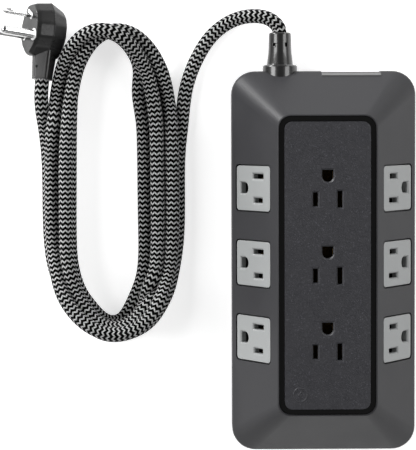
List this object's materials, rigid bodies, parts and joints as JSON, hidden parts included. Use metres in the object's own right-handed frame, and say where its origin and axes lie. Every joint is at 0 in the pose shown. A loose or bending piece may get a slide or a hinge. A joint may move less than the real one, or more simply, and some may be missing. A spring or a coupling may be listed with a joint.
{
  "type": "surge protector block",
  "caption": "Flat surge protector block with sloped sides, outlets on its top and both sides, a rocker switch and a braided mains lead with a right-angle plug.",
  "frame": {"origin": "centre of the block's footprint, on the surface that its rubber feet stand on; the cord and plug lie on the same surface on its -X side", "axes": "+Y towards the cord end, +Z out of the outlets side, +X to the right with the cord end away from the viewer"},
  "size_m": [0.2242, 0.2401, 0.049],
  "materials": {
    "shell_plastic": "satin fine-textured moulding",
    "panel_plastic": "fine leather-like grain",
    "trim_gloss": "polished",
    "face_plastic": "smooth light grey",
    "carrier_plastic": "smooth",
    "contact_brass": "stamped strip",
    "board_laminate": "solder mask",
    "varistor_epoxy": "dipped coating",
    "capacitor_case": "moulded box",
    "choke_ferrite": "wound core",
    "fuse_case": "drawn can",
    "switch_gloss": "polished",
    "lead_black": "wire insulation",
    "lead_white": "wire insulation",
    "lead_green": "wire insulation",
    "screw_steel": "zinc plated",
    "foot_rubber": "matte",
    "relief_rubber": "glossy moulded",
    "cord_braid": "black and grey zigzag braid",
    "plug_rubber": "satin moulded",
    "bridge_plastic": "smooth white",
    "blade_nickel": "nickel plated"
  },
  "bodies": {
    "housing": {"base_cover": "shell_plastic", "upper_housing": "shell_plastic", "centre_trim_ring": "trim_gloss", "centre_panel": "panel_plastic", "left_outlet_face_1": "face_plastic", "left_outlet_face_2": "face_plastic", "left_outlet_face_3": "face_plastic", "right_outlet_face_1": "face_plastic", "right_outlet_face_2": "face_plastic", "right_outlet_face_3": "face_plastic", "centre_contact_carrier": "carrier_plastic", "left_contact_carrier": "carrier_plastic", "right_contact_carrier": "carrier_plastic", "centre_line_contacts": "contact_brass", "centre_neutral_contacts": "contact_brass", "centre_ground_contacts": "contact_brass", "left_line_contacts": "contact_brass", "left_neutral_contacts": "contact_brass", "left_ground_contacts": "contact_brass", "right_line_contacts": "contact_brass", "right_neutral_contacts": "contact_brass", "right_ground_contacts": "contact_brass", "circuit_board": "board_laminate", "varistors": "varistor_epoxy", "filter_capacitor": "capacitor_case", "choke_coil": "choke_ferrite", "thermal_fuse": "fuse_case", "switch_frame": "switch_gloss", "switch_terminals": "contact_brass", "line_lead": "lead_black", "neutral_lead": "lead_white", "ground_lead": "lead_green", "cord_clamp": "carrier_plastic", "clamp_screws": "screw_steel", "board_screws": "screw_steel", "housing_screws": "screw_steel", "rubber_feet": "foot_rubber", "strain_relief": "relief_rubber", "cord_lead_in": "cord_braid", "cord_coil": "cord_braid", "cord_tail": "cord_braid", "plug_body": "plug_rubber", "plug_bridge": "bridge_plastic", "plug_line_blade": "blade_nickel", "plug_neutral_blade": "blade_nickel", "plug_ground_pin": "blade_nickel"},
    "rocker": {"switch_rocker": "switch_gloss"}
  },
  "joints": [
    {"name": "rocker_tilt", "type": "hinge", "parent": "housing", "child": "rocker", "pos_m": [0.0147, 0.0955, 0.0086], "axis": [0, 0, -1], "range_deg": [0, 10]}
  ]
}
